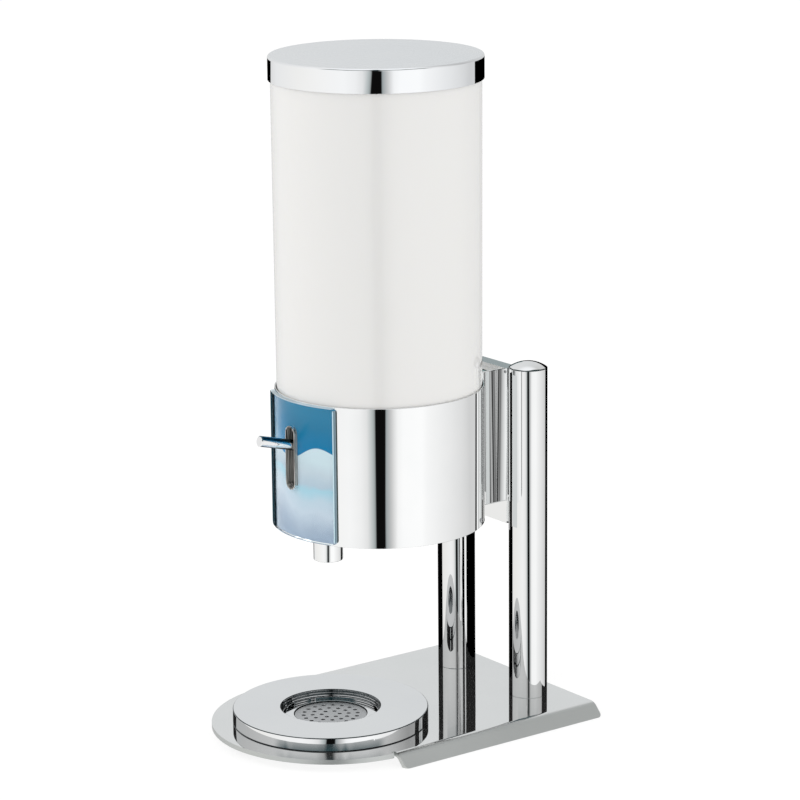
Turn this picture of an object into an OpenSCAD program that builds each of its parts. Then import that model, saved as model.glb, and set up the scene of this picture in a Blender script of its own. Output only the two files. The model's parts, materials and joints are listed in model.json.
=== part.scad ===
// Table-top drinks dispenser: an opal tank in a chromed housing with a pinch valve and a
// press-down lever, carried by two columns on a sheet-metal base with a lift-off drip tray.
// Millimetres. +Z is up, the front faces -Y. The origin is the middle of the base, on the table.

/* [Base plate] */
// Length of the base, front to back
base_l = 295; // [270:1:330]
// Width of the flat top between the two side bends
base_flat_w = 193.2; // [180:0.2:197]
// Radius of the round front end
disc_r = 100; // [99:1:104]
// Height of the flat top above the table
base_top_z = 10.6; // [9.5:0.1:16]
// Thickness of the base sheet
base_t = 4; // [3:0.1:5]
// Slope of the side flanges below the horizontal, in degrees
flange_angle = 45; // [38:1:60]
// Outside radius of the side bends
bend_r = 10; // [5.5:0.5:12]
// Radius of the flanges' lower corners
flange_corner_r = 4; // [2:0.5:6]
// How far the flanges start ahead of the middle of the round end
flange_lead = 8; // [4:1:16]
// Radius of the relief cut ahead of each flange
relief_r = 1.6; // [1:0.1:2.5]
// Radius of a rubber foot under the round end
foot_r = 8; // [6:0.5:12]
// Radius of the circle that the rubber feet stand on
foot_ring_r = 80; // [60:1:88]
// Number of rubber feet
foot_count = 3; // [3:1:5]

/* [Columns] */
// Outside diameter of a column
column_d = 32; // [28:1:36]
// Wall of a column tube
column_wall = 1.5; // [1:0.1:2.5]
// Distance between the two column axes
column_spacing = 98; // [90:1:110]
// Distance from the column axes to the back edge of the base
column_inset = 29.1; // [24:0.1:40]
// Length of a column tube
column_h = 281; // [260:0.2:320]
// Rise of the domed cap above the tube
cap_rise = 5.2; // [3:0.1:9]
// Length of the cap's spigot inside the tube
cap_spigot = 10; // [6:1:16]
// Length of the threaded plug in the foot of the tube
plug_h = 25; // [16:1:40]
// Radius of a column screw
column_screw_r = 4; // [3:0.5:5]

/* [Carrier plate] */
// Thickness of the plate between the columns
carrier_t = 12; // [9:0.5:14]
// Height of the plate between the columns
carrier_h = 132.4; // [110:0.2:150]
// How far the plate's top lies below the top of the tubes
carrier_drop = 2.5; // [1:0.5:12]
// How far the plate's middle lies ahead of the column axes
carrier_advance = 3.9; // [0:0.1:4.5]
// Radius of a stud that ties a column to the plate
stud_r = 3; // [2:0.5:3.5]
// Length of a stud inside the plate
stud_reach = 14; // [8:1:20]
// Distance of the studs from the plate's top and bottom
stud_inset = 20; // [12:1:32]

/* [Bracket] */
// Width of the block between the carrier plate and the housing
bracket_w = 39; // [30:1:46]
// Radius of a bracket screw
bracket_screw_r = 3; // [2.5:0.5:4]
// Distance of the bracket screws from the housing's floor and deck
bracket_screw_inset = 20; // [14:1:30]
// Width of the clamp bar inside the housing
clamp_w = 24; // [20:1:30]
// Thickness of the clamp bar
clamp_t = 8; // [6:0.5:12]
// How far the clamp bar reaches past its screws
clamp_margin = 12; // [8:0.5:13]

/* [Housing] */
// How far the tank's axis lies behind the middle of the base
tank_y = 3.1; // [-6:0.1:6]
// Outside radius of the housing
housing_r = 85.2; // [84.8:0.2:88]
// Wall of the housing
housing_wall = 1; // [0.6:0.1:1.2]
// Height of the housing's lower edge above the table
housing_z = 171.3; // [160:0.1:180]
// Height of the housing
housing_h = 114.6; // [112:0.2:124]
// Thickness of the housing's floor and deck
floor_t = 1.5; // [1:0.1:3]
// How far the floor lies above the housing's lower edge
floor_lift = 0.5; // [0.2:0.1:3]
// Height of the floor's upturned rim
floor_rim_h = 8; // [4:1:16]
// Depth of the deck's top below the housing's upper edge
deck_depth = 23.9; // [20.6:0.1:24.6]
// Radius of a post between floor and deck
post_r = 5; // [4:0.5:7]
// Distance of the posts from the housing's axis
post_ring_r = 62; // [56:1:70]
// Angle of the posts to the left and right, in degrees
post_angle = 35; // [25:1:45]
// Radius of a small screw
small_screw_r = 2; // [1.5:0.25:2.5]

/* [Front panel] */
// Width of the clear panel
panel_w = 86.8; // [80:0.2:110]
// Height of the clear panel
panel_h = 112.4; // [100:0.2:112.6]
// Thickness of the clear panel
panel_t = 3.4; // [2:0.1:5]
// Height of the panel's lower edge above the housing's lower edge
panel_lift = 1.6; // [0.4:0.2:2]
// Radius of the panel's corners
panel_corner_r = 3.5; // [1:0.5:8]
// Thickness of the printed sheet behind the panel
foil_t = 0.3; // [0.2:0.05:0.6]
// Margin between the printed sheet and the panel's edge
foil_margin = 0.6; // [0.3:0.1:3]
// Width of the slot in the panel
slot_w = 12.6; // [11:0.1:14]
// Height of the slot in the panel
slot_h = 52.5; // [50:0.5:58]
// Wall of the slot's metal liner
liner_wall = 0.8; // [0.5:0.1:1]
// Depth of the slot's liner
liner_depth = 8; // [6:0.5:9]

/* [Lever] */
// Diameter of the lever rod
lever_d = 8.8; // [7:0.1:9]
// How far the lever's tip stands out ahead of the panel
lever_out = 29.5; // [25:0.5:45]
// Slope of the lever at rest, in degrees above the horizontal
lever_rest = 14.4; // [10:0.2:18]
// Angle through which the lever is pressed down
lever_press = 34; // [28:1:36]
// Height of the pivot above the middle of the space between floor and deck
pivot_rise = 20.2; // [18.4:0.1:21.4]
// How far the pivot lies behind the hose's axis
pivot_behind = 12.2; // [11.8:0.1:15]
// Radius of the pivot pin
pivot_r = 2.5; // [2:0.1:3]
// Radius of the lever hub's barrel
barrel_r = 5.5; // [4.8:0.1:6]
// Distance from the pivot to the front face of the lever hub
yoke_front = 33; // [31:0.5:34]
// Thickness of the lock nut on the rod
lock_nut_t = 4; // [3:0.5:4.5]

/* [Pinch valve] */
// How far the spout lies ahead of the tank's axis
pour_advance = 53.2; // [50:0.2:54]
// Outside diameter of the silicone hose
hose_d = 10; // [9:0.1:10.4]
// Bore of the silicone hose
hose_bore = 7; // [6:0.1:7.4]
// Distance from the pivot down to the nip
nip_drop = 20; // [19:0.5:24]
// Height of the anvil bar
anvil_h = 7; // [5:0.5:7.4]
// Thickness of the anvil bar
anvil_t = 5; // [4:0.5:6]
// Radius of the nip bar on the lever hub
nip_bar_r = 2.5; // [2:0.1:3]
// Distance between the cheeks of the valve frame
frame_gap = 30; // [29.6:0.2:36]
// Thickness of the cheeks of the valve frame
cheek_t = 2.5; // [2:0.1:4]
// Distance from the pivot back to the return spring
spring_back = 19.4; // [17:0.2:22]
// Mean radius of the return spring
spring_r = 5; // [4:0.1:5.5]
// Wire diameter of the return spring
spring_wire = 1; // [0.7:0.1:1.2]
// Turns of the return spring
spring_turns = 6; // [4:1:7]
// Outside diameter of the spout
spout_d = 23.9; // [20:0.1:26]
// Wall of the spout
spout_wall = 1.5; // [1:0.1:2.5]
// How far the spout reaches below the housing
spout_drop = 23.6; // [15:0.1:30]

/* [Tank] */
// Outside radius of the tank at its foot
tank_foot_r = 83.5; // [80:0.1:83.7]
// Outside radius of the tank at its rim
tank_rim_r = 84.4; // [83.6:0.1:85.6]
// Height of the tank
tank_h = 277; // [220:0.2:320]
// Wall of the tank
tank_wall = 3; // [2:0.1:5]
// Thickness of the tank's floor
tank_floor_t = 4; // [3:0.1:6]
// How deep the tank sits in the housing
tank_sink = 10; // [8:0.1:10.6]

/* [Lid] */
// Gap between the lid's rim and the tank's rim
lid_gap = 0.8; // [0.4:0.1:3]
// Height of the lid's rim
lid_h = 20; // [12:0.1:28]
// Sheet thickness of the lid
lid_t = 1; // [0.8:0.1:1.1]
// Crown of the lid's top
lid_crown = 0.5; // [0.2:0.1:1]
// Radius of the lid's upper edge
lid_edge_r = 2; // [1.4:0.1:4]
// Thickness of the liner's flange between the lid and the tank's rim
liner_flange_t = 1.4; // [1:0.1:3]
// Outside radius of the ice tube
ice_r = 30; // [20:0.5:40]
// Wall of the ice tube
ice_wall = 1.5; // [1:0.1:3]
// Height of the ice tube's closed end above the tank's floor
ice_clear = 12; // [5:1:40]

/* [Drip tray] */
// Radius of the drip tray
tray_r = 80.3; // [72:0.1:90]
// Height of the drip tray above the base
tray_h = 11.4; // [9.5:0.1:14]
// Sheet thickness of the tray's cover
cover_t = 1.2; // [0.8:0.1:1.6]
// Radius of the cover's upper edge
cover_edge_r = 0.9; // [0.5:0.1:1.5]
// Radius of the recess in the cover
recess_r = 41.2; // [38:0.1:50]
// Depth of the recess in the cover
recess_depth = 6.4; // [4:0.1:6.6]
// Number of steps in the recess wall
recess_steps = 3; // [1:1:5]
// Radius of the hole in the recess floor
well_r = 30; // [26:0.1:33]
// Sheet thickness of the dish
dish_t = 0.8; // [0.6:0.1:1.2]
// How far the sieve lies below the recess floor
well_depth = 1; // [0.5:0.1:1.2]
// Thickness of the sieve
sieve_t = 1.2; // [0.8:0.1:1.6]
// Radius of a hole in the sieve
sieve_hole_r = 1.7; // [1:0.1:2]

/* [Hidden] */
$fn = 96;

// Clearances, all radial or per side
running_gap = 0.05;   // between a pin and its bore, and between pieces pushed together
loose_gap = 0.3;      // between pieces that lift off each other
head_gap = 0.5;       // round a screw's head in its counterbore

// Screw heads: radius and height as multiples of the screw's radius
head_r_ratio = 1.7;
head_h_ratio = 1.2;

// Base
disc_y = -base_l / 2 + disc_r;
base_back_y = base_l / 2;
base_under_z = base_top_z - base_t;
flange_front_y = disc_y - flange_lead;
flange_foot_x = base_flat_w / 2 + bend_r * sin(flange_angle)
  + (base_top_z - bend_r + bend_r * cos(flange_angle)) / tan(flange_angle);

// Columns
column_y = base_back_y - column_inset;
column_top_z = base_top_z + column_h;
column_bore_r = column_d / 2 - column_wall;
column_sides = [-1, 1];

// Carrier plate
carrier_top_z = column_top_z - carrier_drop;
carrier_z = carrier_top_z - carrier_h;
carrier_front_y = column_y - carrier_advance - carrier_t / 2;
carrier_back_y = carrier_front_y + carrier_t;
carrier_half_w = column_spacing / 2 - column_d / 2 - running_gap;
stud_z = [carrier_z + stud_inset, carrier_top_z - stud_inset];
stud_y = (carrier_front_y + carrier_back_y) / 2;
stud_head_h = 3;

// Housing
housing_top_z = housing_z + housing_h;
housing_bore_r = housing_r - housing_wall;
floor_z = housing_z + floor_lift;
floor_top_z = floor_z + floor_t;
deck_top_z = housing_top_z - deck_depth;
deck_under_z = deck_top_z - floor_t;
inner_r = housing_bore_r - running_gap;
post_places = [for (a = [post_angle, 180 - post_angle, 180 + post_angle, -post_angle])
  [post_ring_r * cos(a), tank_y + post_ring_r * sin(a)]];
screw_depth = 10;
bracket_screw_z = [floor_top_z + bracket_screw_inset, deck_under_z - bracket_screw_inset];
bracket_head_r = bracket_screw_r * head_r_ratio;
bracket_head_h = bracket_screw_r * 2;

// Panel and slot
foil_r = housing_r + running_gap;
panel_back_r = foil_r + foil_t + running_gap;
panel_r = panel_back_r + panel_t;
panel_z = housing_z + panel_lift;
panel_front_y = tank_y - panel_r;
liner_proud = 0.4;
liner_front_y = panel_front_y - liner_proud;
liner_end_y = liner_front_y + liner_depth;

// Pinch valve and lever
pour_y = tank_y - pour_advance;
hose_r = hose_d / 2;
hose_flat_t = hose_d - hose_bore;
hose_flat_w = PI * hose_bore / 2 + hose_flat_t;
pivot_y = pour_y + pivot_behind;
pivot_z = (floor_top_z + deck_under_z) / 2 + pivot_rise;
nip_z = pivot_z - nip_drop;
nip_flat_h = anvil_h + 1;
nip_run = 8;
nip_bar_y = pour_y + hose_flat_t / 2 + running_gap + nip_bar_r;
hub_arm_in = hose_flat_w / 2 + 1.5;
hub_arm_w = 4;
hub_half_w = hub_arm_in + hub_arm_w;
hub_arm_h = 7;
yoke_h = lever_d + 2.4;
yoke_back = hose_r / cos(lever_rest) + pivot_behind + 4;
lever_r = lever_d / 2;
lever_root = yoke_back + 2;
lever_tip = (pivot_y - panel_front_y + lever_out) / cos(lever_rest);
lever_chamfer = 0.6;
lock_nut_r = lever_r + 2.5;
slot_end_gap = 2.4;
slot_low_angle = lever_press - lever_rest;
slot_z = pivot_z - (pivot_y - panel_front_y) * tan(slot_low_angle)
  - lever_r / cos(slot_low_angle) - slot_end_gap - liner_wall;

// Valve frame
frame_front_y = pour_y - hose_r - anvil_t;
frame_back_y = pivot_y + spring_back + spring_r + 5;
frame_top_z = deck_under_z;
bridge_t = 2.5;
bridge_under_z = frame_top_z - bridge_t;
foot_plate_front_y = pour_y + spout_d / 2 + 5;
spring_y = pivot_y + spring_back;
spring_pad_r = spring_r + 1.5;
tail_t = 6;
tail_w = 10;
spring_pad_z = pivot_z - spring_back * tan(lever_rest)
  + tail_t / 2 / cos(lever_rest) + spring_pad_r * tan(lever_rest) + 0.4;
spring_foot_z = spring_pad_z + 0.1;
spring_guide_h = 3.5;
tenon_r = 2;
clip_t = 0.8;
clip_r = pivot_r + 2;

// Spout
spout_r = spout_d / 2;
spout_bottom_z = housing_z - spout_drop;
spout_nut_h = 5;
spout_collar_r = spout_r + 2.5;
spout_collar_h = 1.8;
hose_flange_r = 9;
hose_flange_h = 2.5;
hose_end_up = 3;

// Tank and its outlet
tank_z = housing_top_z - tank_sink;
tank_rim_z = tank_z + tank_h;
tank_floor_z = tank_z + tank_floor_t;
outlet_r = 6;
outlet_flange_r = 9;
outlet_flange_t = 2;
outlet_barrel_z = tank_z - 10;
outlet_nut_r = 11;
outlet_nut_h = 6.5;
seal_t = 1.5;
spigot_r = hose_bore / 2 - running_gap;
spigot_end_z = deck_top_z - 10;
seat_ring_w = 9;

// Lid
lid_top_z = tank_rim_z + liner_flange_t + lid_t;
lid_r = tank_rim_r + lid_gap + lid_t;
lid_rim_z = lid_top_z + lid_crown - lid_h;
liner_skirt_r = tank_rim_r - tank_wall - loose_gap - 0.1;
liner_skirt_t = 1.5;
liner_skirt_h = 8;
socket_t = 3;
socket_h = 12;
ice_z = tank_floor_z + ice_clear;

// Drip tray
tray_top_z = base_top_z + tray_h;
cover_foot_gap = 0.3;
recess_floor_z = tray_top_z - recess_depth;
recess_foot_r = recess_r - 1.6;
dish_r = tray_r - cover_t - loose_gap;
dish_h = tray_h - cover_t;
sieve_z = recess_floor_z - well_depth - sieve_t;
sieve_r = well_r - loose_gap;
sieve_rings = [6, 12, 18];
sieve_pitch = sieve_r / (len(sieve_rings) + 1);
rib_r = well_r - 5;
rib_t = 1.5;

// Building blocks ------------------------------------------------------------------------

// A ring standing on z = 0.
module ring(outer, inner, h) {
  difference() {
    cylinder(r = outer, h = h);
    translate([0, 0, -1]) cylinder(r = inner, h = h + 2);
  }
}

// A cylinder lying along X, centred on the origin.
module x_rod(r, l) {
  rotate([0, 90, 0]) cylinder(r = r, h = l, center = true);
}

// A cylinder from the origin towards +Y.
module y_rod(r, l) {
  rotate([-90, 0, 0]) cylinder(r = r, h = l);
}

// A box centred in X, from (y0, z0) to (y1, z1).
module x_box(w, y0, z0, y1, z1) {
  translate([-w / 2, y0, z0]) cube([w, y1 - y0, z1 - z0]);
}

// A screw on z = 0 with its head below and its shank up to z = l.
module screw_up(r, l) {
  head_h = r * head_h_ratio;
  translate([0, 0, -head_h]) cylinder(r = r * head_r_ratio, h = head_h);
  cylinder(r = r, h = l);
}

// A rectangle of w by h from z = 0 in the XZ plane, with round corners, extruded towards -Y.
module upright_slab(w, h, r, depth) {
  rotate([90, 0, 0]) linear_extrude(depth) {
    translate([-w / 2 + r, 0]) square([w - 2 * r, h]);
    translate([-w / 2, r]) square([w, h - 2 * r]);
    for (x = [-w / 2 + r, w / 2 - r], y = [r, h - r]) translate([x, y]) circle(r = r);
  }
}

// A slot with round ends, w wide and h high from z = 0, extruded towards -Y.
module upright_slot(w, h, depth) {
  rotate([90, 0, 0]) linear_extrude(depth) {
    translate([-w / 2, w / 2]) square([w, h - w]);
    for (y = [w / 2, h - w / 2]) translate([0, y]) circle(r = w / 2);
  }
}

module on_columns() {
  for (side = column_sides) translate([side * column_spacing / 2, column_y, 0]) children();
}

module on_tank_axis() {
  translate([0, tank_y, 0]) children();
}

module on_pour_axis() {
  translate([0, pour_y, 0]) children();
}

module on_posts() {
  for (p = post_places) translate([p.x, p.y, 0]) children();
}

// The lever's own frame: the pivot is the origin and the rod points along -Y.
module lever_frame() {
  translate([0, pivot_y, pivot_z]) rotate([-lever_rest, 0, 0]) children();
}

// Base -------------------------------------------------------------------------------------

// Cross-section of one side flange, in X and Z, with a short overlap into the flat top.
function flange_profile() =
  let (
    s = flange_angle,
    centre = [base_flat_w / 2, base_top_z - bend_r],
    inside_r = bend_r - base_t,
    arc = [for (i = [0 : 8]) s * i / 8],
    inner_foot_x = flange_foot_x - base_t / sin(s)
  )
  concat(
    [[base_flat_w / 2 - 3, base_top_z]],
    [for (a = arc) centre + bend_r * [sin(a), cos(a)]],
    [[flange_foot_x, 0], [inner_foot_x, 0]],
    [for (i = [8 : -1 : 0]) centre + inside_r * [sin(arc[i]), cos(arc[i])]],
    [[base_flat_w / 2 - 3, base_under_z]]
  );

// Cuts the sharp lower corner off the flange's end at y; way is the direction off the end.
module flange_corner_cut(y, way) {
  r = flange_corner_r;
  translate([flange_foot_x, y, 0]) rotate([0, flange_angle, 0])
    translate([-r, -way * r, -3 * base_t]) difference() {
      translate([0, way < 0 ? -2 * r : 0, 0]) cube([3 * r, 2 * r, 6 * base_t]);
      cylinder(r = r, h = 6 * base_t, $fn = 48);
    }
}

module side_flange() {
  difference() {
    translate([0, base_back_y, 0]) rotate([90, 0, 0])
      linear_extrude(base_back_y - flange_front_y) polygon(flange_profile());
    flange_corner_cut(flange_front_y, -1);
    flange_corner_cut(base_back_y, 1);
  }
}

module base_plate() {
  color("#c9cccd") {
    difference() {
      translate([0, 0, base_under_z]) {
        translate([0, disc_y, 0]) cylinder(r = disc_r, h = base_t, $fn = 180);
        x_box(base_flat_w, disc_y, 0, base_back_y, base_t);
      }
      for (side = [-1, 1]) {
        // the round end's edge stops at the flange, which bends down from here on
        translate([side > 0 ? base_flat_w / 2 : -base_flat_w / 2 - 20, flange_front_y, -1])
          cube([20, base_l, base_top_z + 2]);
        translate([side * base_flat_w / 2, flange_front_y - relief_r, -1])
          cylinder(r = relief_r, h = base_top_z + 2, $fn = 32);
        translate([side > 0 ? base_flat_w / 2 : -base_flat_w / 2 - 20,
            flange_front_y - 2 * relief_r, -1])
          cube([20, 2 * relief_r + 1, base_top_z + 2]);
      }
      on_columns() cylinder(r = column_screw_r + running_gap, h = base_top_z + 1);
    }
    side_flange();
    mirror([1, 0, 0]) side_flange();
  }
}

module rubber_feet() {
  color("#26282a") for (i = [0 : foot_count - 1])
    translate([0, disc_y, 0]) rotate([0, 0, 150 + i * 240 / (foot_count - 1)])
      translate([foot_ring_r, 0, 0]) cylinder(r = foot_r, h = base_under_z);
}

// Columns ----------------------------------------------------------------------------------

// One column tube on the side -1 or 1, drilled for the studs of the carrier plate.
module column(side) {
  color("#dfe2e4") difference() {
    translate([side * column_spacing / 2, column_y, base_top_z])
      ring(column_d / 2, column_bore_r, column_h);
    for (z = stud_z) translate([side * (carrier_half_w + column_wall), stud_y, z])
      x_rod(stud_r + running_gap, column_wall * 6);
  }
}

module column_left() { column(-1); }

module column_right() { column(1); }

module column_caps() {
  r = column_d / 2;
  dome_r = (r * r + cap_rise * cap_rise) / (2 * cap_rise);
  color("#e4e6e8") on_columns() translate([0, 0, column_top_z]) {
    intersection() {
      translate([0, 0, cap_rise - dome_r]) sphere(r = dome_r);
      cylinder(r = r, h = cap_rise + 1);
    }
    translate([0, 0, -cap_spigot])
      cylinder(r = column_bore_r - running_gap, h = cap_spigot + 0.01);
  }
}

module column_plugs() {
  color("#9a9da0") on_columns() translate([0, 0, base_top_z])
    ring(column_bore_r - running_gap, column_screw_r + running_gap, plug_h);
}

module column_screws() {
  color("#8b8e91") on_columns() translate([0, 0, base_under_z])
    screw_up(column_screw_r, base_t + plug_h - 3);
}

// Carrier plate and bracket ----------------------------------------------------------------

module carrier_plate() {
  color("#d2d5d7") difference() {
    x_box(2 * carrier_half_w, carrier_front_y, carrier_z, carrier_back_y, carrier_top_z);
    for (side = column_sides, z = stud_z) translate([side * carrier_half_w, stud_y, z])
      x_rod(stud_r + running_gap, 2 * stud_reach + 1);
    for (z = bracket_screw_z) {
      translate([0, carrier_front_y - 1, z]) y_rod(bracket_screw_r + running_gap, carrier_t + 2);
      translate([0, carrier_back_y - bracket_head_h - head_gap, z])
        y_rod(bracket_head_r + head_gap, bracket_head_h + head_gap + 1);
    }
  }
}

module carrier_studs() {
  inside_x = column_spacing / 2 - column_bore_r;
  shank = inside_x - carrier_half_w + stud_reach;
  color("#8b8e91") for (side = column_sides, z = stud_z)
    translate([side * inside_x, stud_y, z]) rotate([0, side * 90, 0]) {
      // the head bears on the inside of the tube
      intersection() {
        cylinder(r = stud_r * head_r_ratio, h = stud_head_h);
        translate([0, carrier_advance, column_bore_r]) x_rod(column_bore_r - running_gap, column_d);
      }
      translate([0, 0, -shank]) cylinder(r = stud_r, h = shank + stud_head_h / 2);
    }
}

module bracket() {
  color("#dadddf") difference() {
    x_box(bracket_w, tank_y + housing_r - 6, housing_z, carrier_front_y, housing_top_z);
    on_tank_axis() translate([0, 0, housing_z - 1])
      cylinder(r = housing_r + running_gap, h = housing_h + 2, $fn = 180);
    for (z = bracket_screw_z) translate([0, tank_y, z])
      y_rod(bracket_screw_r + running_gap, 200);
  }
}

module bracket_screws() {
  head_y = carrier_back_y - bracket_head_h;
  socket_r = bracket_screw_r * 0.8;
  color("#a4a7aa") for (z = bracket_screw_z) difference() {
    translate([0, 0, z]) {
      translate([0, head_y, 0]) y_rod(bracket_head_r, bracket_head_h - 0.3);
      translate([0, tank_y + inner_r - clamp_t + 1, 0])
        y_rod(bracket_screw_r, head_y + 0.5 - (tank_y + inner_r - clamp_t + 1));
    }
    translate([0, head_y + bracket_head_h / 2, z]) rotate([-90, 0, 0])
      cylinder(r = socket_r, h = bracket_head_h, $fn = 6);
  }
}

module clamp_bar() {
  z0 = bracket_screw_z[0] - clamp_margin;
  z1 = bracket_screw_z[1] + clamp_margin;
  color("#8f9295") difference() {
    intersection() {
      x_box(clamp_w, tank_y + inner_r - clamp_t, z0, tank_y + inner_r + 1, z1);
      on_tank_axis() translate([0, 0, z0 - 1]) cylinder(r = inner_r, h = z1 - z0 + 2, $fn = 180);
    }
    for (z = bracket_screw_z) translate([0, tank_y, z])
      y_rod(bracket_screw_r + running_gap, 2 * housing_r);
  }
}

// Housing ----------------------------------------------------------------------------------

module housing_shell() {
  color("#e0e3e5") difference() {
    on_tank_axis() translate([0, 0, housing_z])
      rotate_extrude($fn = 180) translate([housing_bore_r, 0]) square([housing_wall, housing_h]);
    translate([0, tank_y - housing_r / 2, slot_z]) slot_hole();
    for (z = bracket_screw_z) translate([0, tank_y, z])
      y_rod(bracket_screw_r + running_gap, 2 * housing_r);
  }
}

module slot_hole() {
  g = running_gap;
  translate([0, 0, -g]) upright_slot(slot_w + 2 * g, slot_h + 2 * g, housing_r);
}

// The room that the slot's liner takes inside the housing.
module liner_notch() {
  x_box(slot_w + 2 * loose_gap, panel_front_y, slot_z, liner_end_y + loose_gap,
    slot_z + slot_h + loose_gap);
}

module housing_floor() {
  color("#b4b7b9") difference() {
    on_tank_axis() translate([0, 0, floor_z]) {
      cylinder(r = inner_r, h = floor_t, $fn = 180);
      ring(inner_r, inner_r - floor_t, floor_rim_h, $fn = 180);
    }
    on_pour_axis() cylinder(r = spout_r + running_gap, h = housing_top_z);
    on_posts() cylinder(r = small_screw_r + running_gap, h = housing_top_z);
    frame_screw_places() cylinder(r = small_screw_r + running_gap, h = housing_top_z);
  }
}

module deck() {
  color("#b4b7b9") difference() {
    on_tank_axis() translate([0, 0, deck_under_z]) cylinder(r = inner_r, h = floor_t, $fn = 180);
    on_pour_axis() cylinder(r = hose_r + loose_gap, h = housing_top_z);
    on_posts() cylinder(r = small_screw_r + running_gap, h = housing_top_z);
    liner_notch();
  }
}

module deck_posts() {
  h = deck_under_z - floor_top_z;
  color("#a9acaf") difference() {
    on_posts() translate([0, 0, floor_top_z]) cylinder(r = post_r, h = h);
    on_posts() translate([0, 0, floor_top_z - 1])
      cylinder(r = small_screw_r + running_gap, h = screw_depth + 2);
    on_posts() translate([0, 0, deck_under_z - screw_depth - 1])
      cylinder(r = small_screw_r + running_gap, h = screw_depth + 2);
  }
}

module deck_screws() {
  color("#8b8e91") on_posts() translate([0, 0, deck_top_z]) mirror([0, 0, 1])
    screw_up(small_screw_r, floor_t + screw_depth);
}

module floor_screws() {
  color("#8b8e91") on_posts() translate([0, 0, floor_z])
    screw_up(small_screw_r, floor_t + screw_depth);
}

module seat_ring() {
  outer = housing_bore_r - loose_gap;
  color("#eceae6") difference() {
    on_tank_axis() translate([0, 0, deck_top_z])
      ring(outer, outer - seat_ring_w, tank_z - deck_top_z, $fn = 180);
    liner_notch();
  }
}

// Front panel ------------------------------------------------------------------------------

// A curved sheet between two radii, cut to a rounded rectangle inset by a margin, with the slot.
module panel_sheet(back_r, front_r, margin) {
  difference() {
    intersection() {
      on_tank_axis() translate([0, 0, housing_z])
        rotate_extrude($fn = 240) translate([back_r, 0]) square([front_r - back_r, housing_h]);
      translate([0, tank_y - housing_r / 2, panel_z + margin])
        upright_slab(panel_w - 2 * margin, panel_h - 2 * margin, panel_corner_r, housing_r);
    }
    translate([0, tank_y - housing_r / 2, slot_z]) slot_hole();
  }
}

module front_panel() {
  color("#cfe4ee", 0.35) panel_sheet(panel_back_r, panel_r, 0);
}

module panel_foil() {
  color("#8fc0dc") panel_sheet(foil_r, foil_r + foil_t, foil_margin);
}

module slot_liner() {
  inner_w = slot_w - 2 * liner_wall;
  inner_h = slot_h - 2 * liner_wall;
  color("#b9bcbb") difference() {
    translate([0, liner_end_y, slot_z]) upright_slot(slot_w, slot_h, liner_depth);
    translate([0, liner_end_y + 1, slot_z + liner_wall])
      upright_slot(inner_w, inner_h, liner_depth + 2);
  }
}

// Pinch valve ------------------------------------------------------------------------------

module frame_screw_places() {
  y = (foot_plate_front_y + frame_back_y) / 2;
  for (x = [-1, 1] * frame_gap / 4) translate([x, y, 0]) children();
}

module valve_frame() {
  w = frame_gap + 2 * cheek_t;
  color("#a9acaf") {
    difference() {
      union() {
        for (side = [-1, 1])
          translate([side * (frame_gap + cheek_t) / 2, 0, 0])
            x_box(cheek_t, frame_front_y, floor_top_z, frame_back_y, frame_top_z);
        x_box(w, foot_plate_front_y, floor_top_z, frame_back_y, floor_top_z + cheek_t);
        x_box(w, spring_y - spring_pad_r, bridge_under_z, frame_back_y, frame_top_z);
      }
      translate([0, pivot_y, pivot_z]) x_rod(pivot_r + running_gap, w + 2);
      translate([0, anvil_y(), nip_z]) x_rod(tenon_r + running_gap, w + 2);
      frame_screw_places() cylinder(r = small_screw_r + running_gap, h = floor_top_z + 10);
    }
    translate([0, spring_y, bridge_under_z - spring_guide_h])
      cylinder(r = spring_r - spring_wire / 2 - 0.5, h = spring_guide_h + 0.5);
  }
}

module frame_screws() {
  color("#8b8e91") frame_screw_places() translate([0, 0, floor_z])
    screw_up(small_screw_r, floor_t + cheek_t);
}

// Middle of the anvil bar, in front of the flattened hose.
function anvil_y() = pour_y - hose_flat_t / 2 - running_gap - anvil_t / 2;

module anvil_bar() {
  color("#c3c6c8") translate([0, anvil_y(), nip_z]) {
    cube([frame_gap, anvil_t, anvil_h], center = true);
    x_rod(tenon_r, frame_gap + 2 * cheek_t);
  }
}

module pivot_pin() {
  color("#8b8e91") translate([0, pivot_y, pivot_z])
    x_rod(pivot_r, frame_gap + 2 * cheek_t + 2 * clip_t + 2);
}

module pivot_clips() {
  color("#55585a") for (side = [-1, 1])
    translate([side * (frame_gap / 2 + cheek_t + clip_t / 2), pivot_y, pivot_z])
      rotate([0, 90, 0]) difference() {
        cylinder(r = clip_r, h = clip_t, center = true);
        cylinder(r = pivot_r + running_gap, h = clip_t + 1, center = true);
      }
}

// A coil of round wire along Z, as one tube swept along the helix.
module coil(mean_r, wire_d, turns, h) {
  sides = 8;
  rings = turns * 14;
  rise = h - wire_d;
  function spot(i) = let (a = 360 * turns * i / rings)
    [mean_r * cos(a), mean_r * sin(a), wire_d / 2 + rise * i / rings];
  pts = [for (i = [0 : rings], k = [0 : sides - 1])
    let (a = 360 * turns * i / rings, b = 360 * k / sides, p = spot(i))
    p + wire_d / 2 * [cos(b) * cos(a), cos(b) * sin(a), sin(b)]];
  walls = [for (i = [0 : rings - 1], k = [0 : sides - 1])
    let (n = (k + 1) % sides)
    [i * sides + k, (i + 1) * sides + k, (i + 1) * sides + n, i * sides + n]];
  ends = [
    [for (k = [0 : sides - 1]) k],
    [for (k = [sides - 1 : -1 : 0]) rings * sides + k]
  ];
  polyhedron(pts, concat(walls, ends), convexity = 10);
}

module return_spring() {
  color("#70757a") translate([0, spring_y, spring_foot_z])
    coil(spring_r, spring_wire, spring_turns, bridge_under_z - 0.1 - spring_foot_z);
}

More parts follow.
